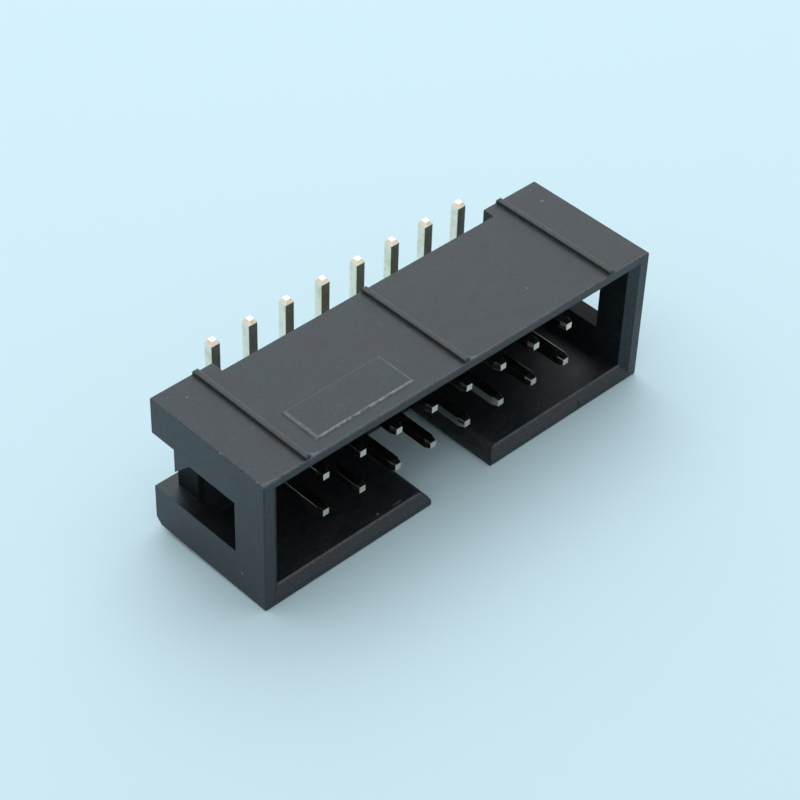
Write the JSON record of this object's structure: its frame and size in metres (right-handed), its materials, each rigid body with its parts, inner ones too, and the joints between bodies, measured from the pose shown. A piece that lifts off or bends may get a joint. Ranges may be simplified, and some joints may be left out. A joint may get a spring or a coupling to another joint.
{
  "type": "idc box header",
  "caption": "Keyed box header for flat ribbon cable: an open four-walled moulding round two rows of square contacts, whose bent tails solder to a flat surface.",
  "frame": {"origin": "under the middle of the part as it lies on its keyed side, at the lowest height", "axes": "+X along the rows of contacts, -Y out of the mouth towards the cable's plug, +Y towards the soldered face, +Z from the keyed side to the plain side"},
  "size_m": [0.0278, 0.0102, 0.0095],
  "materials": {
    "housing_plastic": "black glass-filled moulding, fine matte texture",
    "contact_plating": "drawn wire with matte tin plating, bright on the struck edges"
  },
  "bodies": {
    "root": {"housing": "housing_plastic", "upper_contact_1": "contact_plating", "upper_contact_2": "contact_plating", "upper_contact_3": "contact_plating", "upper_contact_4": "contact_plating", "upper_contact_5": "contact_plating", "upper_contact_6": "contact_plating", "upper_contact_7": "contact_plating", "upper_contact_8": "contact_plating", "lower_contact_1": "contact_plating", "lower_contact_2": "contact_plating", "lower_contact_3": "contact_plating", "lower_contact_4": "contact_plating", "lower_contact_5": "contact_plating", "lower_contact_6": "contact_plating", "lower_contact_7": "contact_plating", "lower_contact_8": "contact_plating"}
  },
  "joints": []
}
